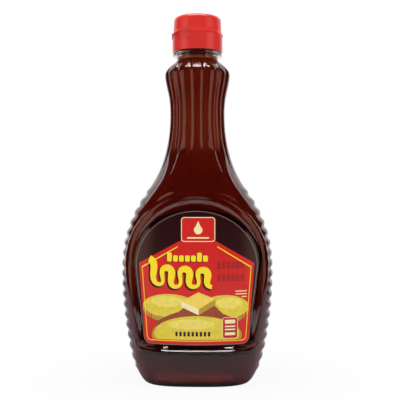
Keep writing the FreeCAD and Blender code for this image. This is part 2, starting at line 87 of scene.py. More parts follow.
class NodeGraph:
    """Node tree of a material or a world, with short methods that give sockets."""

    def __init__(self, owner: Material | bpy.types.World) -> None:
        """Start from an empty tree."""
        self.owner = owner
        owner.use_nodes = True
        self.tree = owner.node_tree
        self.tree.nodes.clear()

    def add(self, kind: str, inputs: dict | None = None, **settings: str) -> bpy.types.NodeOutputs:
        """Add a node, set its properties and fill its inputs.

        Args:
            kind: the node's type name, without the "ShaderNode" that each starts with.
            inputs: values or output sockets for inputs, by name or number.
            **settings: properties of the node itself.

        Returns:
            The new node's outputs.
        """
        node = self.tree.nodes.new("ShaderNode" + kind)
        for name, value in settings.items():
            setattr(node, name, value)
        for key, value in (inputs or {}).items():
            if isinstance(value, Socket):
                self.tree.links.new(value, node.inputs[key])
            else:
                node.inputs[key].default_value = value
        return node.outputs

    def math(self, operation: str, *values: Socket | float) -> Socket:
        """Result of a sum on one to three values."""
        return self.add("Math", dict(enumerate(values)), operation=operation)[0]

    def ramp(self, value: Socket, low: float, high: float, start: float = 0.0,
             end: Socket | float = 1.0, smooth: bool = True) -> Socket:
        """Result that runs from start to end while a value runs from low to high."""
        return self.add("MapRange", {
            "Value": value, "From Min": low, "From Max": high, "To Min": start, "To Max": end},
            interpolation_type="SMOOTHSTEP" if smooth else "LINEAR")[0]

    def place(self) -> Socket:
        """Place on the piece, in metres."""
        return self.add("TexCoord")["Object"]

    def noise(self, size_mm: float, detail: float = 2.0) -> Socket:
        """Soft noise from 0 to 1 with cells of a size."""
        return self.add("TexNoise", {
            "Vector": self.place(), "Scale": 1 / (size_mm * MM), "Detail": detail})["Fac"]

    def bump(self, height: Socket, height_mm: float, strength: float) -> Socket:
        """Normal of a surface that a height from 0 to 1 raises."""
        return self.add("Bump", {
            "Height": height, "Distance": height_mm * MM, "Strength": strength})["Normal"]

    def tone(self, share: Socket, low: Colour, high: Colour) -> Socket:
        """Colour between two colours."""
        return self.add("Mix", {0: share, 6: low, 7: high}, data_type="RGBA")[2]

    def blend(self, share: Socket, first: Socket, second: Socket) -> Socket:
        """Mix of two shaders."""
        return self.add("MixShader", {0: share, 1: first, 2: second})[0]

    def principled(self, colour: Socket | Colour, roughness: Socket | float, ior: float,
                   extra: dict | None = None) -> Socket:
        """General shader of one colour, roughness and index, with any other inputs by name."""
        return self.add("BsdfPrincipled", {
            "Base Color": colour, "Roughness": roughness, "IOR": ior, **(extra or {})})[0]

    def finish(self, **ends: Socket) -> Material:
        """Return the material, its Surface and Volume set."""
        self.add("OutputMaterial", ends)
        return self.owner


# ---- Finishes
@dataclass(frozen=True)
class BlownPolyester:
    """Stretch-blown PET: water clear and glossy.

    The eye sees a hard highlight on every rib and groove. Where syrup wets the lining the two indices
    are nearly alike, so no second highlight shows there and that side is given only their ratio.
    """

    name: str = "blown_pet"
    tint: str = "fbf8f4"
    ior: float = 1.55
    roughness: float = 0.02
    ripple_mm: float = 9.0
    ripple_height: float = 0.05
    ripple_strength: float = 0.6

    def build(self) -> Material:
        """Return the material, which lets light through so that the syrup behind it is lit."""
        graph = NodeGraph(bpy.data.materials.new(self.name))
        ripple = graph.bump(graph.noise(self.ripple_mm), self.ripple_height, self.ripple_strength)
        glass = graph.principled(linear(self.tint), self.roughness, self.ior,
                                 {"Transmission Weight": 1.0, "Normal": ripple})
        clear = graph.add("BsdfTransparent", {"Color": linear(self.tint)})[0]
        path = graph.add("LightPath")
        lighting = graph.math("MAXIMUM", path["Is Shadow Ray"], path["Is Diffuse Ray"])
        return graph.finish(Surface=graph.blend(lighting, glass, clear))


@dataclass(frozen=True)
class PancakeSyrup:
    """Corn syrup with caramel colour: a dense red-brown liquid, amber where it is thin.

    The eye sees nearly black brown through the body, clear red-brown through the neck, amber under
    the cap and a faint haze of its own colour. How much haze shows is painted light and shade: less
    between the labels, more on the flanks and in a patch over the foot, less under the heel and over
    the crown. Its index is that of the wall round it, so its own surface shows no gloss.
    """

    form: "BottleForm"
    name: str = "caramel_syrup"
    haze: str = "6c1407"
    # painted light: more haze on the flanks, where light comes in through the ribs
    haze_share: float = 0.44  # share of haze on the flanks
    shoulder_share: float = 0.36
    shoulder_span: Point = (0.75, 0.88)  # shares of the body's height
    neck_share: float = 0.34
    neck_foot_dip: float = 0.1
    # painted patch of light over the foot
    foot_share: float = 0.92  # share of haze in the patch of light over the foot
    foot_glow_mm: Point = (7.0, 14.0)
    foot_middle_mm: Point = (18.0, 32.0)
    # painted shade under the heel: the haze falls away below these heights
    heel_mm: Point = (2.5, 6.0)
    heel_shade_factor: float = 0.1  # what is left of the haze under the heel
    # painted shade over the crown: the haze falls away above the bulge
    crown_mm: Point = (-4.0, 3.0)  # heights about the bulge
    crown_shade_factor: float = 0.4  # what is left of the haze above it
    # painted shade: share of haze inside the label panels, where the labels keep light out
    shaded_share: float = 0.04
    panel_edge: Point = (0.96, 1.07)
    arch_gap_mm: float = 5.5
    ior: float = 1.02
    roughness: float = 0.3
    cloud_mm: float = 30.0
    dim: Triple = (0.85, 0.8, 0.8)
    lit: Triple = (1.15, 1.2, 1.2)
    passed: str = "d29a62"
    density_per_m: float = 165.0

    def build(self) -> Material:
        """Return the material: absorbing glass with a little haze."""
        graph = NodeGraph(bpy.data.materials.new(self.name))
        clear = graph.principled(WHITE, self.roughness, self.ior, {"Transmission Weight": 1.0})
        tone = graph.tone(graph.noise(self.cloud_mm), scaled(self.haze, *self.dim),
                          scaled(self.haze, *self.lit))
        haze = graph.principled(tone, self.roughness, self.ior)
        absorb = graph.add("VolumeAbsorption", {
            "Color": linear(self.passed), "Density": self.density_per_m})[0]
        return graph.finish(Surface=graph.blend(self.lit_share(graph), clear, haze), Volume=absorb)

    def lit_share(self, graph: NodeGraph) -> Socket:
        """Share of haze: painted shade, low between the labels, where little light gets in.

        Args:
            graph: the material's graph.

        Returns:
            The share, from shaded_share inside the label panels to the painted light and shade outside them.
        """
        form = self.form
        x, _, z = graph.add("SeparateXYZ", {0: graph.place()})
        aside = graph.math("ABSOLUTE", x)
        height = graph.math("SUBTRACT", z, form.panel_spring_z * MM)
        above = graph.math("MAXIMUM", height, 0.0)
        below = graph.math("MINIMUM", height, 0.0)
        half = graph.math("MULTIPLY_ADD", below, form.side_taper, form.panel_half_width * MM)
        across = graph.math("DIVIDE", aside, half)
        along = graph.math("DIVIDE", above, (form.panel_arch - self.arch_gap_mm) * MM)
        pair = graph.add("CombineXYZ", {0: across, 1: along})[0]
        reach = graph.add("VectorMath", {0: pair}, operation="LENGTH")["Value"]
        under = graph.ramp(z, form.panel_bottom_z * MM, 0.0)
        outside = graph.math("MAXIMUM", graph.ramp(reach, *self.panel_edge), under)
        most = self.open_painted_light(graph, aside, z)
        return graph.ramp(outside, 0.0, 1.0, self.shaded_share, most, smooth=False)

    def open_painted_light(self, graph: NodeGraph, aside: Socket, z: Socket) -> Socket:
        """Share of haze outside the panels: painted light and shade.

        Args:
            graph: the material's graph.
            aside: distance from the bottle's middle plane.
            z: height.

        Returns:
            The share, which changes up the bottle, is largest in a painted patch of light over the foot and
            is cut by painted shade under the heel and over the crown.
        """
        form = self.form
        start, end = (share * form.height * MM for share in self.shoulder_span)
        shoulder = graph.ramp(z, start, end, self.haze_share, self.shoulder_share)
        neck = graph.ramp(z, form.height * MM, form.waist_z * MM, -self.neck_foot_dip,
                          self.neck_share - self.shoulder_share, smooth=False)
        # painted patch of light over the foot
        glow = graph.ramp(z, *(h * MM for h in self.foot_glow_mm), self.foot_share, 0.0)
        middle = graph.ramp(aside, *(x * MM for x in self.foot_middle_mm), 1.0, 0.0)
        most = graph.math("MAXIMUM", graph.math("ADD", shoulder, neck),
                          graph.math("MULTIPLY", glow, middle))
        # painted shade under the heel and over the crown
        heel = graph.ramp(z, *(h * MM for h in self.heel_mm), self.heel_shade_factor, 1.0)
        crown = graph.ramp(z, *((form.bulge_z + h) * MM for h in self.crown_mm), 1.0, self.crown_shade_factor)
        return graph.math("MULTIPLY", most, graph.math("MULTIPLY", heel, crown))


@dataclass(frozen=True)
class PrintedFilm:
    """Polypropylene label film with gravure ink under a gloss varnish.

    The eye sees flat saturated ink with a soft, slightly uneven shine, because the film follows
    tiny waves of the blown panel under it.
    """

    name: str
    ink: str
    mottle: float = 0.10
    roughness: float = 0.24
    shine: Point = (-0.04, 0.05)  # how far the roughness varies
    ior: float = 1.49
    grain_mm: float = 2.5
    wave_mm: float = 14.0
    wave_height: float = 0.06

    def build(self) -> Material:
        """Return the material: ink with a faint mottle under varnish."""
        graph = NodeGraph(bpy.data.materials.new(self.name))
        grain = graph.noise(self.grain_mm, 3.0)
        shade = 1 - self.mottle
        colour = graph.tone(grain, scaled(self.ink, *[shade] * 3), scaled(self.ink, *[1 / shade] * 3))
        gloss = graph.ramp(grain, 0.0, 1.0, *(self.roughness + part for part in self.shine), smooth=False)
        wave = graph.bump(graph.noise(self.wave_mm, 1.0), self.wave_height, 0.5)
        return graph.finish(Surface=graph.principled(colour, gloss, self.ior, {"Normal": wave}))


@dataclass(frozen=True)
class MouldedPolypropylene:
    """Injection-moulded polypropylene, pigmented red.

    The eye sees an even waxy red with broad soft highlights, a fine satin grain from the mould and
    a slight lightening where light enters the plastic.
    """

    name: str = "moulded_polypropylene"
    pigment: str = "ce2e29"
    dim: Triple = (0.93, 0.9, 0.9)
    lit: Triple = (1.07, 1.12, 1.12)
    roughness: float = 0.22
    satin: Point = (-0.05, 0.08)  # how far the roughness varies
    ior: float = 1.5
    grain_mm: float = 0.7  # real mould grain is about 0.1 mm, which wouldn't show
    grain_height: float = 0.02
    cloud_mm: float = 8.0
    scatter: float = 0.15
    scatter_mm: float = 1.2
    scatter_spread: Triple = (1.0, 0.25, 0.2)

    def build(self) -> Material:
        """Return the material: pigmented plastic with a fine mould grain."""
        graph = NodeGraph(bpy.data.materials.new(self.name))
        grain = graph.noise(self.grain_mm, 3.0)
        colour = graph.tone(graph.noise(self.cloud_mm), scaled(self.pigment, *self.dim),
                            scaled(self.pigment, *self.lit))
        gloss = graph.ramp(grain, 0.0, 1.0, *(self.roughness + part for part in self.satin), smooth=False)
        plastic = graph.principled(colour, gloss, self.ior, {
            "Subsurface Weight": self.scatter, "Subsurface Scale": self.scatter_mm * MM,
            "Subsurface Radius": self.scatter_spread,
            "Normal": graph.bump(grain, self.grain_height, 0.5)})
        return graph.finish(Surface=plastic)


# ---- Form of the blown bottle
def ease(value: Array | float, low: float, high: float) -> Array | float:
    """Smooth step from 0 at low to 1 at high."""
    share = np.clip((value - low) / (high - low), 0.0, 1.0)
    return share * share * (3.0 - 2.0 * share)


def level_spline(stations: Sequence[Point]) -> Callable[[float], float]:
    """Cubic spline through stations, free at the first and level at the last.

    Args:
        stations: (height, value) pairs, lowest first.

    Returns:
        A function from height to value.
    """
    z, v = (np.array(column, dtype=float) for column in zip(*stations))
    step, count = np.diff(z), len(z)
    slope = np.diff(v) / step
    matrix, target = np.eye(count), np.zeros(count)
    matrix[0, :2], target[0] = (2.0, 1.0), 3.0 * slope[0]
    for i in range(1, count - 1):
        lower = step[i] / (step[i - 1] + step[i])
        matrix[i, i - 1:i + 2] = lower, 2.0, 1.0 - lower
        target[i] = 3.0 * (lower * slope[i - 1] + (1.0 - lower) * slope[i])
    slopes = np.linalg.solve(matrix, target)

    def curve(height: float) -> float:
        """Value of the spline at a height."""
        height = min(max(height, z[0]), z[-1])
        i = min(int(np.searchsorted(z, height, side="right")) - 1, count - 2)
        t = (height - z[i]) / step[i]
        return (v[i] * (1 + 2 * t) * (1 - t) ** 2 + step[i] * slopes[i] * t * (1 - t) ** 2
                + v[i + 1] * t * t * (3 - 2 * t) + step[i] * slopes[i + 1] * t * t * (t - 1))

    return curve


@dataclass(frozen=True)
class BottleForm:
    """Sizes of the blown bottle in millimetres and the radii of its walls, as the CAD solids have them."""

    width: float = 100.8
    depth: float = 67.8
    height: float = 148.0
    wall: float = 0.55
    panel_wall: float = 0.75
    base_wall: float = 1.2
    outline: tuple[Triple, ...] = (
        (0.000, 0.755, 0.905), (0.113, 0.862, 0.956), (0.250, 0.943, 0.990), (0.485, 1.000, 1.000),
        (0.622, 0.970, 1.000), (0.723, 0.884, 0.994), (0.807, 0.763, 0.972), (0.907, 0.573, 0.870))
    body_squareness: float = 2.6
    foot_squareness: float = 3.0
    round_span: Point = (0.6, 1.05)  # shares of the height over which the section turns round
    foot_span: float = 0.2
    heel_height: float = 16.0
    heel_inset: float = 4.0
    standing_ring: float = 3.5
    push_up_height: float = 4.0
    push_up_slope: float = 7.0
    neck_foot_radius: float = 22.9
    waist_radius: float = 18.6
    flare_radius: float = 19.6
    waist_rise: float = 28.5
    bulge_radius: float = 22.1
    bulge_rise: float = 28.5
    throat_radius: float = 13.8
    throat_rise: float = 10.2
    throat_length: float = 2.7
    throat_shape: float = 1.45
    flank_span: Point = (0.25, 0.62)  # the ribs fade between these shares of the half depth
    rib_count: int = 18
    rib_pitch: float = 6.91
    rib_depth: float = 1.3
    rib_mean: float = 0.6
    rib_softness: float = 0.25
    rib_run: float = 0.6  # pitches over which the first and last rib fade
    first_rib_z: float = 9.8
    groove_count: int = 14
    groove_depth: float = 0.9
    groove_foot_drop: float = 6.7
    groove_fade: float = 27.0
    groove_lead: float = 9.5
    groove_head_rise: float = 9.2
    groove_softness: float = 0.06
    groove_onset: float = 20.0
    groove_tip: float = 0.05  # the narrow ends are cut deeper, from this share of the run
    groove_tip_power: float = 0.6
    panel_curve: float = 86.0
    panel_drop: float = 1.8
    panel_ledge: float = 3.0
    panel_half_width: float = 43.8
    panel_arch: float = 42.3
    panel_spring_z: float = 79.0
    panel_bottom_z: float = 24.2
    panel_corner: float = 7.0
    sill_drop: float = -1.0  # the ledge below the label is a sill, this much lower
    sill_steepness: float = 1.4
    sill_bead: float = 1.6
    bead_height: float = 0.7  # rounded bead that frames the panel
    bead_middle: float = -2.6
    bead_half_width: float = 2.8
    bead_start: float = 0.6  # share of the springing's height where the arch's bead starts
    side_taper: float = 0.11
    bore_radius: float = 10.85
    finish_radius: float = 12.6
    ring_radius: float = 16.5
    ring_thickness: float = 1.8
    finish_height: float = 10.5
    snap_bead: float = 1.0
    snap_bead_drop: float = 4.2
    syrup_level: float = 3.3
    lining_flank: Point = (0.5, 0.9)
    columns: int = 280
    floor_steps: int = 9
    heel_steps: int = 17
    steps_per_rib: int = 9
    neck_step: float = 1.4
    crown_step: float = 0.6
    sill_step: float = 0.15
    sill_span: Point = (-3.4, 1.4)  # heights about the panel's foot with the finest steps
    neck_blend: float = 12.0
    crown_blend: float = 8.0

    def __post_init__(self) -> None:
        """Work out the heights of the neck and the side and front outlines."""
        derived = {"waist_z": self.height + self.waist_rise}
        derived["bulge_z"] = derived["waist_z"] + self.bulge_rise
        derived["ring_z"] = derived["bulge_z"] + self.throat_rise + self.throat_length
        derived["finish_z"] = derived["ring_z"] + self.ring_thickness
        derived["mouth_z"] = derived["finish_z"] + self.finish_height
        derived["syrup_z"] = derived["finish_z"] + self.syrup_level
        for name, column, half in (("half_width", 1, self.width / 2), ("half_depth", 2, self.depth / 2)):
            stations = [(row[0] * self.height, row[column] * half) for row in self.outline]
            stations += [(self.height, self.neck_foot_radius), (derived["waist_z"], self.waist_radius),
                         ((derived["waist_z"] + derived["bulge_z"]) / 2, self.flare_radius),
                         (derived["bulge_z"], self.bulge_radius)]
            derived[name] = level_spline(stations)
        for name, value in derived.items():
            object.__setattr__(self, name, value)

    def half_sizes(self, z: float) -> Point:
        """Half width and half depth of the plain bottle at a height."""
        if z <= self.bulge_z:
            return self.half_width(z), self.half_depth(z)
        share = min(1.0, (z - self.bulge_z) / self.throat_rise)
        swell = (1 - share ** 2) ** self.throat_shape
        radius = self.throat_radius + (self.bulge_radius - self.throat_radius) * swell
        return radius, radius

    def oval(self, angle: Array, z: float, inset: Array | float) -> Array:
        """Distance from the axis to the plain oval section, moved inwards by an inset."""
        half_width, half_depth = self.half_sizes(z)
        neck = ease(z, self.round_span[0] * self.height, self.round_span[1] * self.height)
        foot = 1.0 - ease(z, 0.0, self.foot_span * self.height)
        power = (self.body_squareness + (2.0 - self.body_squareness) * neck
                 + (self.foot_squareness - self.body_squareness) * foot)
        across = (np.abs(np.cos(angle)) / (half_width - inset)) ** power
        along = (np.abs(np.sin(angle)) / (half_depth - inset)) ** power
        return (across + along) ** (-1.0 / power)

    def panel_reach(self, angle: Array) -> Array:
        """Distance from the axis to the upright cylinder of the label panel."""
        centre = self.panel_curve - (self.depth / 2 - self.panel_drop)
        toward = np.abs(np.sin(angle)) * centre
        return np.sqrt(toward ** 2 + self.panel_curve ** 2 - centre ** 2) - toward

    def inside_panel(self, x: Array, z: float) -> Array:
        """Distance from the panel's outline, positive inside it."""
        x = np.abs(x)
        if z > self.panel_spring_z:
            rise = (z - self.panel_spring_z) / self.panel_arch
            return (1.0 - np.hypot(x / self.panel_half_width, rise)) * self.panel_arch
        side = self.panel_half_width - self.side_taper * (self.panel_spring_z - z) - x
        floor = (z - self.panel_bottom_z + self.sill_drop) * self.sill_steepness
        corner = self.panel_corner
        rounded = corner - np.hypot(corner - side, corner - floor)
        return np.where((side < corner) & (floor < corner), rounded, np.minimum(side, floor))

    def bead(self, inside: Array, z: float) -> Array:
        """Height of the bead round the panel, which fades along the upright sides."""
        share = np.clip(np.abs(inside - self.bead_middle) / self.bead_half_width, 0.0, 1.0)
        arch = self.bead_height * ease(z, self.bead_start * self.panel_spring_z, self.panel_spring_z)
        sill = self.sill_bead * (1.0 - ease(z, self.panel_bottom_z, self.panel_bottom_z + self.panel_corner))
        return (arch + sill) * (1.0 - share ** 2) ** 2

    def rib(self, z: float) -> float:
        """Height of the ribs above their mean line at a height: round lobes with tight valleys."""
        soft = self.rib_softness
        phase = math.cos(math.pi * (z - self.first_rib_z) / self.rib_pitch)
        lobe = (math.hypot(phase, soft) - soft) / (math.hypot(1.0, soft) - soft)
        top = self.first_rib_z + (self.rib_count - 0.5) * self.rib_pitch
        bottom = self.first_rib_z - 0.5 * self.rib_pitch
        run = self.rib_run * self.rib_pitch
        fade = ease(z, bottom, bottom + run) * (1.0 - ease(z, top - run, top))
        return self.rib_depth * (lobe - self.rib_mean) * fade

    def groove(self, angle: Array, z: float) -> Array:
        """Depth of the neck's grooves, which run out in points at both ends."""
        wave = (0.5 - 0.5 * np.cos(self.groove_count * (angle + math.pi / 2))) ** 2
        foot_z = self.height - self.groove_foot_drop
        rise = ease(z, foot_z - self.groove_lead, foot_z + self.groove_fade)
        fall = 1.0 - ease(z, self.bulge_z, self.bulge_z + self.groove_head_rise)
        cut = wave - 1.0 + min(rise, fall)
        rounded = 0.5 * (cut + np.hypot(cut, self.groove_softness))
        tip = max(min(rise, fall), self.groove_tip) ** self.groove_tip_power
        return self.groove_depth * rounded * min(1.0, self.groove_onset * rise * fall) / tip

    def skin(self, angle: Array, z: float, inset: float = 0.0, depth: float = 0.0) -> Array:
        """Distance from the axis to the outside of the bottle.

        Args:
            angle: angles about the axis, from +X towards +Y.
            z: height of the section.
            inset: how far the heel's rounding has moved the oval in.
            depth: how far below the outside the result lies.

        Returns:
            One radius for each angle.
        """
        _, half_depth = self.half_sizes(z)
        plain = self.oval(angle, z, inset)
        sideness = 1.0 - ease(plain * np.abs(np.sin(angle)) / half_depth, *self.flank_span)
        ribbed = plain + self.rib(z) * sideness
        reach = self.panel_reach(angle)
        inside = self.inside_panel(reach * np.cos(angle), z)
        share = ease(inside, 0.0, self.panel_ledge)
        panelled = ribbed + (np.minimum(ribbed, reach) - ribbed) * share
        return panelled + self.bead(inside, z) - self.groove(angle, z) - depth

    def lining(self, angle: Array, z: float, inset: float = 0.0) -> Array:
        """Distance from the axis to the smooth inside of the wall."""
        flank = 1.0 - ease(np.abs(np.sin(angle)), *self.lining_flank)
        ribbed = 1.0 - ease(z, self.height - self.rib_pitch, self.height)
        grooved = ease(z, self.height - self.groove_foot_drop, self.height + self.groove_fade)
        relief = (self.wall + inset + self.rib_mean * self.rib_depth * flank * ribbed
                  + self.groove_depth * grooved)
        plain = self.oval(angle, z, relief)
        reach = self.panel_reach(angle)
        share = ease(self.inside_panel(reach * np.cos(angle), z), -self.panel_ledge, self.panel_ledge)
        return plain + (np.minimum(plain, reach - self.panel_wall) - plain) * share

    def push_up_stations(self, lift: float, steps: int) -> list[Point]:
        """(Height, inset) stations from the raised floor down to the standing ring."""
        stations = []
        for share in np.linspace(0.0, 1.0, steps):
            rise = self.push_up_height * (1.0 + math.cos(math.pi * share)) / 2
            inset = self.heel_inset + self.standing_ring + self.push_up_slope * (1.0 - share)
            stations.append((rise + lift, inset))
        return stations

    def side_stations(self, lift: float, top: float, steps: Triple) -> list[Point]:
        """(Height, inset) stations up the heel, the sides and the neck.

        Args:
            lift: height of the lowest station.
            top: height of the last station.
            steps: spacing beside the ribs, along the neck and over the crown above the bulge.

        Returns:
            The stations, lowest first.
        """
        rib_step, neck_step, crown_step = steps
        stations = []
        for turn in np.linspace(0.0, math.pi / 2, self.heel_steps)[:-1]:
            height = self.heel_height * (1 - math.cos(turn)) + lift * (1 - math.sin(turn))
            stations.append((height, self.heel_inset * (1 - math.sin(turn))))
        z = self.heel_height
        ribs_end = self.first_rib_z + self.rib_count * self.rib_pitch
        while z < top - 0.5 * crown_step:
            stations.append((z, 0.0))
            step = rib_step + (neck_step - rib_step) * ease(z, ribs_end, ribs_end + self.neck_blend)
            if self.sill_span[0] < z - self.panel_bottom_z < self.sill_span[1]:
                step = self.sill_step
            z += step + (crown_step - step) * ease(z, self.bulge_z - self.crown_blend, self.bulge_z)
        return stations + [(top, 0.0)]

    def skin_rings(self, lift: float, top: float) -> list[Array]:
        """Rings of the outside from the middle of the floor to a height, some way inside the skin.

        Args:
            lift: how far inside the skin they lie.
            top: height of the last ring.

        Returns:
            The rings, from the floor up.
        """
        angles = turns(self.columns)
        steps = (self.rib_pitch / self.steps_per_rib, self.neck_step, self.crown_step)
        stations = self.push_up_stations(lift, self.floor_steps) + self.side_stations(lift, top, steps)
        return [ring_points(angles, self.skin(angles, z, inset, lift), z) for z, inset in stations]


# ---- Meshes
def turns(count: int) -> Array:
    """Evenly spaced angles about the axis."""
    return 2 * math.pi * np.arange(count) / count


def ring_points(angles: Array, radii: Array | float, z: float) -> Array:
    """Points of a level ring about the axis, in millimetres."""
    radii = np.broadcast_to(radii, angles.shape)
    return np.column_stack([radii * np.cos(angles), radii * np.sin(angles), np.full(angles.shape, z)])


def skin_mesh(name: str, rings: Sequence[Array], close_first: bool, close_last: bool,
              crease_deg: float = 40.0) -> Mesh:
    """Make a smooth mesh from rings of points joined row by row.

    Args:
        name: the mesh's name.
        rings: rings with the same number of points each, in millimetres.
        close_first: fill the first ring with a fan.
        close_last: fill the last ring with a fan.
        crease_deg: edges sharper than this are shaded as edges.

    Returns:
        The mesh, in metres.
    """
    count, rows = len(rings[0]), len(rings)
    points = np.concatenate(rings)
    near = np.arange(count)
    after = (near + 1) % count
    faces = []
    for row in range(rows - 1):
        low, high = row * count, (row + 1) * count
        faces += np.column_stack([low + near, low + after, high + after, high + near]).tolist()
    if close_first:
        points = np.vstack([points, rings[0].mean(axis=0)])
        hub = len(points) - 1
        faces += [[int(a), hub, int(b)] for a, b in zip(after, near)]
    if close_last:
        points = np.vstack([points, rings[-1].mean(axis=0)])
        hub, last = len(points) - 1, (rows - 1) * count
        faces += [[int(last + a), int(last + b), hub] for a, b in zip(near, after)]
    mesh = bpy.data.meshes.new(name)
    mesh.from_pydata((points * MM).tolist(), [], faces)
    mesh.shade_smooth()
    mesh.set_sharp_from_angle(angle=math.radians(crease_deg))
    return mesh


def link(name: str, data: bpy.types.ID) -> Object:
    """Add an object to the scene."""
    item = bpy.data.objects.new(name, data)
    bpy.context.scene.collection.objects.link(item)
    return item


def place_piece(name: str, mesh: Mesh, body: str, slot: str,
                materials: Iterable[Material], *replaced: str) -> Object:
    """Link a mesh as a piece that rides on a body and stands for CAD nodes.

    Args:
        name: the piece's name.
        mesh: its mesh.
        body: the moving body that carries it.
        slot: the record's material slot; not used.
        materials: materials in the order of the mesh's indices.
        *replaced: CAD nodes that the piece stands for.

    Returns:
        The new object.
    """
    piece = link(name, mesh)
    for material in materials:
        mesh.materials.append(material)
    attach(piece, body)
    if replaced:
        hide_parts(*replaced)
    LOG.info("%s: %d faces on %s", name, len(mesh.polygons), body)
    return piece


# ---- Shell and syrup
@dataclass
class BottleShell:
    """Blown shell: patterned skin, support ring, mouth and smooth lining."""

    form: BottleForm
    chamfer: float = 0.2
    lining_columns: int = 140
    lining_floor_steps: int = 6
    lining_steps: Triple = (3.0, 3.0, 1.2)
    crease_deg: float = 40.0

    def outside(self) -> list[Array]:
        """Rings from the middle of the push-up over the skin to the end of the bore."""
        form, c = self.form, self.chamfer
        bead_z = form.mouth_z - form.snap_bead_drop
        r, f = form.ring_radius, form.finish_radius
        turned = [(r - c, form.ring_z), (r, form.ring_z + c), (r, form.finish_z - c), (r - c, form.finish_z),
                  (f, form.finish_z), (f, bead_z - form.snap_bead), (f + form.snap_bead - c, bead_z - c),
                  (f + form.snap_bead - c, bead_z + c), (f, bead_z + 2 * form.snap_bead),
                  (f, form.mouth_z - c), (f - c, form.mouth_z), (form.bore_radius + c, form.mouth_z),
                  (form.bore_radius, form.mouth_z - c), (form.bore_radius, form.ring_z - form.wall)]
        angles = turns(form.columns)
        return form.skin_rings(0.0, form.ring_z) + [ring_points(angles, radius, z) for radius, z in turned]

    def inside(self) -> list[Array]:
        """Rings down the lining, from under the support ring to the middle of the floor."""
        form = self.form
        angles = turns(self.lining_columns)
        stations = form.push_up_stations(form.base_wall, self.lining_floor_steps)
        stations += form.side_stations(form.base_wall, form.ring_z - form.wall, self.lining_steps)
        rings = [ring_points(angles, form.lining(angles, z, inset), z) for z, inset in reversed(stations)]
        return [ring_points(angles, form.bore_radius, form.ring_z - form.wall)] + rings

    def build(self, skin: Material, lining: Material) -> Object:
        """Build the shell.

        Args:
            skin: finish of the outside and of the mouth.
            lining: finish of the inside, which syrup wets.

        Returns:
            The shell's piece.
        """
        outer = skin_mesh("shell_outside", self.outside(), True, False)
        inner = skin_mesh("shell_inside", self.inside(), False, True)
        joined = bmesh.new()
        joined.from_mesh(outer)
        joined.from_mesh(inner)
        mesh = bpy.data.meshes.new("bottle_shell")
        joined.to_mesh(mesh)
        joined.free()
        skin_faces = len(outer.polygons)
        for face in mesh.polygons:
            face.material_index = int(face.index >= skin_faces)
        mesh.shade_smooth()
        mesh.set_sharp_from_angle(angle=math.radians(self.crease_deg))
        return place_piece("bottle_shell", mesh, "bottle", "clear_plastic", (skin, lining), "bottle")


@dataclass
class SyrupFill:
    """Syrup that wets the whole wall and stands a little way up the bore."""

    form: BottleForm
    reach: float = 0.12  # what is left of the wall between the syrup and the outside

    def build(self, syrup: Material) -> Object:
        """Build the syrup, which reaches into the wall so that no gap shows.

        Args:
            syrup: the syrup's finish.

        Returns:
            The syrup's piece.
        """
        form = self.form
        angles = turns(form.columns)
        top = form.ring_z - form.wall
        column = form.bore_radius + self.reach
        rings = form.skin_rings(self.reach, top)
        rings += [ring_points(angles, column, z) for z in (top + self.reach, form.syrup_z)]
        mesh = skin_mesh("syrup_fill", rings, True, True)
        return place_piece("syrup_fill", mesh, "bottle", "syrup", (syrup,), "syrup")


# ---- Labels
def arc(x: float, z: float, rx: float, rz: float, angles: Array) -> Outline:
    """Points of an ellipse about (x, z) at some angles."""
    return [(x + rx * math.cos(t), z + rz * math.sin(t)) for t in angles]


def oval(x: float, z: float, rx: float, rz: float, points: int = 48) -> Outline:
    """Outline of an upright ellipse."""
    return arc(x, z, rx, rz, turns(points))


def box(x: float, z: float, width: float, height: float, corner: float) -> Outline:
    """Outline of a box with round corners, about its middle."""
    outline = []
    for quarter, (sx, sz) in enumerate(((1, -1), (1, 1), (-1, 1), (-1, -1))):
        outline += arc(x + sx * (width / 2 - corner), z + sz * (height / 2 - corner), corner, corner,
                       math.pi / 2 * (quarter - 1 + np.arange(CORNER_STEPS) / (CORNER_STEPS - 1)))
    return outline


def stroke(path: Sequence[Point], width: Callable[[float], float] | float) -> list[Outline]:
    """Quads of a pen stroke along a path.

    Args:
        path: points along the middle of the stroke.
        width: the stroke's width, or a function of the share of the path done.

    Returns:
        The stroke's faces as outlines.
    """
    line = np.array(path, dtype=float)
    along = np.gradient(line, axis=0)
    along /= np.linalg.norm(along, axis=1)[:, None]
    shares = np.linspace(0, 1, len(line))
    half = np.array([(width(s) if callable(width) else width) / 2 for s in shares])[:, None]
    left, right = line + half * along[:, [1, 0]] * (-1, 1), line - half * along[:, [1, 0]] * (-1, 1)
    return [[tuple(right[i]), tuple(right[i + 1]), tuple(left[i + 1]), tuple(left[i])]
            for i in range(len(line) - 1)]


def blocks(x: float, z: float, heights: Sequence[float], width: float, gap: float) -> list[Outline]:
    """Row of small blocks that stand on the line z from x on, where the real film has words."""
    corner = BLOCK_CORNER * min(width, min(heights))
    return [box(x + width / 2 + k * (width + gap), z + height / 2, width, height, corner)
            for k, height in enumerate(heights)]


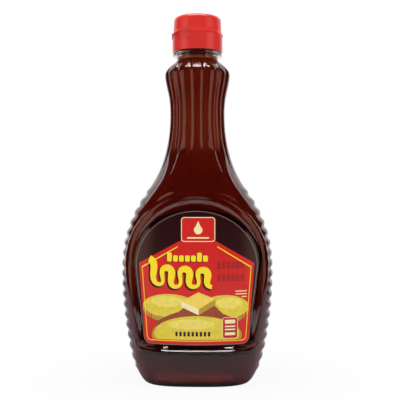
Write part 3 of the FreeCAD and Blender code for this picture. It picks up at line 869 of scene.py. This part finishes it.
class Ink(Enum):
    """Inks of the labels: name, colour and how uneven the colour is."""

    MAROON = ("maroon_ink", "2a0306", 0.10)
    RED = ("red_ink", "cf1f1b", 0.08)
    DEEP_RED = ("deep_red_ink", "a81d1a", 0.10)
    BADGE_RED = ("badge_red_ink", "b5242c", 0.08)
    YELLOW = ("yellow_ink", "f9e225", 0.05)
    CREAM = ("cream_ink", "f4ecb4", 0.05)
    BATTER = ("batter_ink", "dccb3c", 0.22)
    PALE_BATTER = ("pale_batter_ink", "e8dc62", 0.18)
    CRUST = ("crust_ink", "b4952a", 0.22)
    BUTTER = ("butter_ink", "efd75a", 0.12)
    BROWN = ("brown_ink", "93401d", 0.25)
    DARK = ("dark_ink", "2c0808", 0.10)
    EDGE = ("film_edge", "8d8480", 0.10)

    def finish(self) -> PrintedFilm:
        """Finish of this ink on the film."""
        name, colour, mottle = self.value
        return PrintedFilm(name, colour, mottle=mottle)


Field = tuple[Ink, int, list[Outline]]


@dataclass
class Label:
    """Film label on a flat panel, with print in fields of colour.

    The film's back and front are cylinders about an upright line behind the panel. Print is laid on
    it in layers a few hundredths of a millimetre thick.
    """

    form: BottleForm
    side: int = -1
    name: str = "label_front"
    half_width: float = 39.5
    arch: float = 35.5
    spring_z: float = 78.2
    bottom_z: float = 28.0
    corner: float = 5.0
    clearance: float = 0.2
    film: float = 0.2
    layer: float = 0.02
    strip: float = 2.0  # faces are cut into strips this wide, to bend
    edge: float = 0.3
    edge_inset: float = 0.05
    arch_points: int = 73
    corner_points: int = 7
    crease_deg: float = 35.0

    def outline(self, inset: float = 0.0) -> Outline:
        """Outline of the label, or one that lies an inset inside it: an arch over tapering sides."""
        lean = math.atan(self.form.side_taper * self.arch / self.half_width)
        half, rise = self.half_width - inset, self.arch - inset
        points = arc(0.0, self.spring_z, half, rise, np.linspace(-lean, math.pi + lean, self.arch_points))
        base, radius = self.bottom_z + inset, max(self.corner - inset, 0.5)
        foot = points[0][0] - self.form.side_taper * (points[0][1] - base)
        corner = arc(foot - radius, -base - radius, radius, radius,
                     math.pi / 2 * np.linspace(0.0, 1.0, self.corner_points))
        return points + [(-x, -z) for x, z in corner] + [(x, -z) for x, z in reversed(corner)]

    def rim(self) -> list[Outline]:
        """Faces of the bare strip along the film's cut edge."""
        outer, inner = self.outline(self.edge_inset), self.outline(self.edge_inset + self.edge)
        return [[outer[k - 1], outer[k], inner[k], inner[k - 1]] for k in range(len(outer))]

    def design(self) -> list[Field]:
        """Fields of ink with their levels above the film."""
        return [(Ink.EDGE, 1, self.rim())]

    def bend(self, x: float, thick: float, z: float) -> Vector:
        """Place of a flat point on the curved label, in metres."""
        centre = self.form.depth / 2 - self.form.panel_drop - self.form.panel_curve
        radius = self.form.panel_curve + self.clearance + thick
        y = self.side * (centre + math.sqrt(radius ** 2 - x ** 2))
        return Vector((-self.side * x, y, z)) * MM

    def add_field(self, mesh: bmesh.types.BMesh, faces: Iterable[Sequence[Point]], ink: int,
                  low: float, high: float) -> None:
        """Add a field of film or ink as a thin slab.

        Args:
            mesh: the mesh to add to, in flat (x, thickness, z) millimetres.
            faces: outlines of the field's faces.
            ink: material index.
            low: thickness at its back.
            high: thickness at its front.
        """
        flat = bmesh.new()
        for outline in faces:
            corners = [flat.verts.new((x, low, z)) for x, z in outline]
            flat.faces.new(corners)
        bmesh.ops.remove_doubles(flat, verts=flat.verts[:], dist=1e-4)
        reach = int(self.half_width // self.strip) + 1
        for k in range(-reach, reach + 1):
            bmesh.ops.bisect_plane(flat, geom=flat.verts[:] + flat.edges[:] + flat.faces[:],
                                   plane_co=(k * self.strip, 0, 0), plane_no=(1, 0, 0), dist=1e-5)
        bmesh.ops.recalc_face_normals(flat, faces=flat.faces[:])
        if sum(face.normal.y * face.calc_area() for face in flat.faces) > 0:
            bmesh.ops.reverse_faces(flat, faces=flat.faces[:])
        solid = bmesh.ops.extrude_face_region(flat, geom=flat.faces[:])
        front = {v for v in solid["geom"] if isinstance(v, bmesh.types.BMVert)}
        for vert in front:
            vert.co.y = high
        for face in flat.faces:
            face.material_index = ink
            face.smooth = True
        piece = bpy.data.meshes.new("field")
        flat.to_mesh(piece)
        flat.free()
        mesh.from_mesh(piece)
        bpy.data.meshes.remove(piece)

    def build(self) -> Object:
        """Build the film and its print as one piece."""
        fields = self.design()
        inks = list(dict.fromkeys([Ink.MAROON] + [ink for ink, _, _ in fields]))
        mesh = bmesh.new()
        self.add_field(mesh, [self.outline()], 0, 0.0, self.film)
        for ink, level, faces in fields:
            self.add_field(mesh, faces, inks.index(ink), self.film - self.layer,
                           self.film + level * self.layer)
        for vert in mesh.verts:
            vert.co = self.bend(*vert.co)
        bmesh.ops.recalc_face_normals(mesh, faces=mesh.faces[:])
        data = bpy.data.meshes.new(self.name)
        mesh.to_mesh(data)
        mesh.free()
        data.set_sharp_from_angle(angle=math.radians(self.crease_deg))
        return place_piece(self.name + "_film", data, "bottle", "label",
                           [ink.finish().build() for ink in inks], self.name)


@dataclass
class FrontLabel(Label):
    """Front label: a red house under a maroon arch, a plaque, a drizzle and pancakes with butter."""

    middle: float = 1.2  # x of the ridge and the plaque
    ridge_z: float = 101.6
    eaves: Point = (37.9, 80.6)
    roof_drop: float = 1.2  # how far the roof comes down for each millimetre of inset
    border_gap: float = 8.0  # height below the ridge where the border stops
    border_cut: float = 0.64  # share of the roof that it runs along
    plaque_z: float = 101.9
    drop_radius: float = 2.7
    drop_turn: float = 2.5  # half angle of the drop's round part
    drizzle_waves: float = 3.5
    drizzle_start: Point = (-30.5, 71.6)
    drizzle_run: Point = (40.5, -1.2)
    drizzle_loop: float = 1.4
    drizzle_swing: Point = (6.4, -1.2)
    drizzle_lead: float = 5.0  # extra height of the first stroke
    drizzle_points: int = 90
    pen: Triple = (0.82, 0.28, 0.8)  # share of the width, its change, its phase
    dish_z: float = 31.4  # lower edge of the picture
    cake_points: int = 64

    def house(self, inset: float) -> Outline:
        """Outline of the red house, an inset inside the film's edge and below its roof."""
        eaves_x, drop = self.eaves[0] - inset, self.roof_drop * inset
        foot = self.outline(inset)[-2 * self.corner_points:]
        return foot + [(eaves_x, self.eaves[1] - drop), (self.middle, self.ridge_z - drop),
                       (-eaves_x, self.eaves[1] - drop)]

    def border(self, inset: float, width: float) -> list[Outline]:
        """Faces of the thin line that follows the house, open where the plaque sits."""
        outer, inner = self.house(inset), self.house(inset + width)
        faces = []
        for k in range(len(outer)):
            face = [outer[k - 1], outer[k], inner[k], inner[k - 1]]
            if max(z for _, z in face) > self.ridge_z - self.border_gap:
                ends = [(outer[k - 1], inner[k - 1]), (outer[k], inner[k])]
                ends.sort(key=lambda pair: pair[0][1])
                cut = [tuple(np.array(a) * (1 - self.border_cut) + np.array(b) * self.border_cut)
                       for a, b in zip(*ends)]
                face = [ends[0][0], cut[0], cut[1], ends[0][1]]
            faces.append(face)
        return faces

    def plaque(self) -> list[Field]:
        """Red plaque with a pale rim and a plain drop."""
        x, z, radius = self.middle, self.plaque_z, self.drop_radius
        round_part = np.linspace(-self.drop_turn, self.drop_turn, 25) - math.pi / 2
        drop = arc(x, z - 0.4, radius, radius, round_part) + [(x, z + 2 * radius)]
        return [(Ink.CREAM, 2, [box(x, z, 21.8, 15.8, 2.0)]),
                (Ink.RED, 3, [box(x, z, 20.8, 14.8, 1.6)]),
                (Ink.CREAM, 4, [drop]),
                (Ink.CREAM, 4, [box(x, z - 5.4, 14.0, 0.9, 0.4)])]

    def drizzle(self, dx: float, dz: float, width: float) -> list[Outline]:
        """Faces of the big wavy drizzle, moved by (dx, dz)."""
        turn = 2 * math.pi * self.drizzle_waves
        (x, z), (run, fall), (swing, fade) = self.drizzle_start, self.drizzle_run, self.drizzle_swing
        path = [(x + run * t + self.drizzle_loop * math.sin(2 * turn * t) + dx,
                 z + fall * t + (swing + fade * t) * math.cos(turn * t)
                 + self.drizzle_lead * max(0.0, 1 - 5 * t) + dz)
                for t in np.linspace(0, 1, self.drizzle_points)]
        share, change, phase = self.pen
        return stroke(path, lambda t: width * (share + change * math.sin(turn * t + phase)))

    def words(self) -> list[Field]:
        """Blocks and bars where the real label has words."""
        heights = (5.8, 4.0, 4.0, 4.0, 4.0, 5.8, 4.0)
        faces = blocks(13.4, 76.6, [4.6] * 6, 2.2, 0.8) + blocks(13.4, 68.6, [4.6] * 6, 2.2, 0.8)
        notes = [box(28.8, 62.2, 7.4, 0.6, 0.25), box(28.8, 60.4, 7.4, 0.6, 0.25),
                 box(30.8, 58.6, 3.4, 0.6, 0.25)]
        return [(Ink.DARK, 2, blocks(-19.3, 80.9, heights, 3.1, 0.75)),
                (Ink.YELLOW, 3, blocks(-18.8, 81.3, heights, 3.1, 0.75)),
                (Ink.DARK, 2, self.drizzle(-0.7, -0.8, 5.0)),
                (Ink.YELLOW, 3, self.drizzle(0.0, 0.0, 4.2)),
                (Ink.DEEP_RED, 2, faces), (Ink.CREAM, 2, notes),
                (Ink.DARK, 6, blocks(-13.4, 33.6, [3.0] * 9, 1.5, 1.1))]

    def pancakes(self) -> list[Field]:
        """Three pancakes, syrup between them and a pat of butter."""
        def cake(x: float, z: float, rx: float, rz: float) -> list[Outline]:
            """Outline of a pancake, cut off along the picture's lower edge."""
            return [[(px, max(pz, self.dish_z)) for px, pz in oval(x, z, rx, rz, self.cake_points)]]

        run = [(x, 49.6 - 0.0125 * (x - 1.0) ** 2) for x in np.linspace(-26.0, 25.0, 40)]
        back, left, front, right = (1.4, 61.8), (-9.6, 56.0), (1.6, 51.0), (12.2, 57.4)
        low_left, low_front, low_right = (-9.6, 52.4), (1.6, 47.2), (12.2, 53.6)
        pool = [(-26.0, 41.0), (-14.0, 47.0), (-3.0, 56.0), (9.0, 56.0), (17.0, 48.0), (27.0, 40.0),
                (0.0, 34.0)]
        shine = [oval(-19.0, 55.6, 10.5, 3.6), oval(21.0, 54.8, 8.5, 3.6)]
        return [(Ink.CRUST, 1, cake(-17.5, 51.2, 17.2, 8.6)), (Ink.CRUST, 1, cake(18.2, 50.4, 15.6, 8.8)),
                (Ink.BATTER, 2, cake(-17.5, 53.0, 17.0, 7.4)), (Ink.BATTER, 2, cake(18.2, 52.2, 15.4, 7.6)),
                (Ink.PALE_BATTER, 3, shine), (Ink.BROWN, 3, [pool]),
                (Ink.CRUST, 4, cake(0.2, 34.0, 29.0, 12.4)), (Ink.BATTER, 5, cake(0.2, 35.2, 27.4, 11.4)),
                (Ink.PALE_BATTER, 6, [oval(-3.0, 41.2, 15.0, 3.2)]),
                (Ink.BROWN, 4, stroke(run, 3.0)),
                (Ink.CREAM, 5, [[left, low_left, low_front, front]]),
                (Ink.CRUST, 5, [[front, low_front, low_right, right]]),
                (Ink.BUTTER, 5, [[left, front, right, back]])]

    def badge(self) -> list[Field]:
        """Small badge with plain bars."""
        x, z = 21.6, 38.8
        bars = [box(x, z + rise, 6.6, height, 0.3)
                for rise, height in ((4.0, 2.4), (1.0, 0.9), (-1.0, 0.9), (-3.8, 1.8))]
        return [(Ink.CREAM, 6, [box(x, z, 9.8, 13.6, 1.5)]),
                (Ink.BADGE_RED, 7, [box(x, z, 9.2, 13.0, 1.3)]), (Ink.CREAM, 8, bars)]

    def design(self) -> list[Field]:
        """Fields of the front label, each with its level above the film."""
        return (super().design() + [(Ink.RED, 1, [self.house(0.5)])] + self.pancakes()
                + [(Ink.YELLOW, 6, self.border(2.4, 0.5))] + self.plaque() + self.words() + self.badge())


@dataclass
class BackLabel(Label):
    """Back label: a red band, a cream panel with ruled lines and rows of plain bars."""

    side: int = 1
    name: str = "label_back"

    def design(self) -> list[Field]:
        """Fields of the back label, each with its level above the film."""
        rules = [box(-12.0, z, 28.0, 0.35 if k % 4 else 1.0, 0.15)
                 for k, z in enumerate(np.arange(40.0, 84.0, 3.2))]
        lines = [box(8.5 + width / 2, z, width, 0.9, 0.35)
                 for z, width in zip(np.arange(40.0, 84.0, 2.7), (24, 22, 24, 18, 24, 23, 12) * 3)]
        return super().design() + [
            (Ink.RED, 1, [box(0.0, 97.0, 44.0, 9.0, 4.4)]),
            (Ink.YELLOW, 2, blocks(-13.6, 94.8, [4.4] * 7, 3.1, 0.9)),
            (Ink.CREAM, 1, [box(-12.0, 61.5, 32.0, 50.0, 1.0)]),
            (Ink.DARK, 2, rules), (Ink.CREAM, 1, lines)]


# ---- Studio
@dataclass(frozen=True)
class Lamp:
    """Soft box that looks at the middle of the bottle."""

    name: str
    place: Triple
    size: Point
    watts: float
    colour: str = "ffffff"
    aim: float = 120.0

    def build(self) -> None:
        """Hang the lamp."""
        data = bpy.data.lights.new(self.name, "AREA")
        data.shape = "RECTANGLE"
        data.size, data.size_y = self.size[0] * MM, self.size[1] * MM
        data.energy = self.watts
        data.color = linear(self.colour)[:3]
        lamp = link(self.name, data)
        lamp.location = Vector(self.place) * MM
        gaze = Vector((0, 0, self.aim * MM)) - lamp.location
        lamp.rotation_euler = gaze.to_track_quat("-Z", "Y").to_euler()


@dataclass(frozen=True)
class Board:
    """White board at floor level, white to the camera with the bottle's soft shadow on it."""

    name: str
    half_width: float
    front: float
    back: float
    colour: str  # its colour to light that bounces on to the bottle
    shadow: Point = (50.0, 150.0)  # reach of the soft shadow from the bottle's axis
    shadow_white: float = 0.93

    def build(self) -> None:
        """Lay the board."""
        x, front, back = self.half_width * MM, self.front * MM, self.back * MM
        mesh = bpy.data.meshes.new(self.name)
        mesh.from_pydata([(-x, front, 0), (x, front, 0), (x, back, 0), (-x, back, 0)], [], [(0, 1, 2, 3)])
        board = link(self.name, mesh)
        graph = NodeGraph(bpy.data.materials.new(self.name))
        matt = graph.add("BsdfDiffuse", {"Color": linear(self.colour)})[0]
        bright = graph.add("Emission", {"Color": WHITE, "Strength": 1.0})[0]
        away = graph.add("VectorMath", {0: graph.place()}, operation="LENGTH")["Value"]
        white = graph.ramp(away, *(reach * MM for reach in self.shadow), self.shadow_white, 1.0)
        seen = graph.add("LightPath")["Is Camera Ray"]
        shown = graph.blend(graph.math("MULTIPLY", seen, white), matt, bright)
        mesh.materials.append(graph.finish(Surface=shown))


@dataclass(frozen=True)
class Studio:
    """White sweep, soft lamps and the camera."""

    eye_mm: float = 530.0
    eye_height: float = 120.7
    eye_azimuth: float = 1.4
    turn: float = -0.184
    lens_share: float = 1.95  # focal length as a share of the sensor's width
    sensor_width: float = 36.0
    clip_m: Point = (0.01, 50.0)
    upper_span: Point = (0.15, 0.45)  # mirrored white reaches further forward above these heights
    upper_reach: float = 0.28
    mirrored_span: Point = (0.68, 0.73)
    mirrored_dark: float = 0.01
    through_span: Point = (-0.3, 0.2)
    through_dark: float = 0.05
    bounced: float = 0.68
    boards: tuple[Board, ...] = (
        Board("floor", 420.0, -110.0, 420.0, "b0b0b8"),
        Board("front_card", 300.0, -440.0, -195.0, "fafafa"))
    lamps: tuple[Lamp, ...] = (
        Lamp("left_box", (-440, -240, 205), (280, 425), 0.54, "ffcdbc"),
        Lamp("right_box", (440, -240, 205), (280, 425), 0.50, "ffcdbc"),
        Lamp("left_rim", (-420, 260, 490), (50, 320), 0.08),
        Lamp("right_rim", (420, 260, 490), (50, 320), 0.06),
        Lamp("top_box", (0, -90, 850), (640, 260), 6.0))

    def camera(self) -> None:
        """Set up the camera level with the middle of the bottle."""
        data = bpy.data.cameras.new("camera")
        data.sensor_width = self.sensor_width
        data.lens = self.lens_share * self.sensor_width
        data.clip_start, data.clip_end = self.clip_m
        camera = link("camera", data)
        azimuth = math.radians(self.eye_azimuth)
        camera.location = Vector((math.sin(azimuth) * self.eye_mm, -math.cos(azimuth) * self.eye_mm,
                                  self.eye_height)) * MM
        camera.rotation_euler = (math.pi / 2, 0.0, azimuth + math.radians(self.turn))
        bpy.context.scene.camera = camera

    def sky(self) -> None:
        """White cyclorama behind and beside the bottle, and a darker room in front of it."""
        world = bpy.data.worlds.new("studio")
        bpy.context.scene.world = world
        graph = NodeGraph(world)
        path = graph.add("LightPath")
        toward = graph.add("TexCoord")["Generated"]
        _, y, z = graph.add("SeparateXYZ", {0: toward})
        upper = graph.ramp(z, *self.upper_span, 0.0, self.upper_reach, smooth=False)
        light = graph.ramp(graph.math("ADD", y, upper), *self.mirrored_span, self.mirrored_dark, 1.0)
        through = graph.ramp(y, *self.through_span, self.through_dark, 1.0)
        for ray, strength in (("Is Transmission Ray", through), ("Is Diffuse Ray", self.bounced),
                              ("Is Camera Ray", 1.0)):
            light = graph.add("Mix", {0: path[ray], 2: light, 3: strength}, data_type="FLOAT")[0]
        shown = graph.add("Background", {"Color": WHITE, "Strength": light})[0]
        graph.add("OutputWorld", {"Surface": shown})

    def build(self) -> None:
        """Build the whole studio."""
        self.camera()
        for board in self.boards:
            board.build()
        self.sky()
        for lamp in self.lamps:
            lamp.build()
        bpy.context.scene.view_settings.view_transform = "Standard"


def main() -> None:
    """Build the bottle's pieces in order and report each."""
    logging.basicConfig(level=logging.INFO, format="%(name)s: %(message)s")
    form = BottleForm()
    BottleShell(form).build(BlownPolyester().build(), BlownPolyester(name="wetted_pet", ior=1.02).build())
    SyrupFill(form).build(PancakeSyrup(form).build())
    FrontLabel(form).build()
    BackLabel(form).build()
    cap = MouldedPolypropylene().build()
    for node in ("cap_base", "cap_lid"):
        shown = bpy.data.objects[node]
        for slot in shown.material_slots:
            slot.material = cap
        LOG.info("%s: moulded plastic", node)
    Studio().build()


if __name__ == "__main__":
    main()
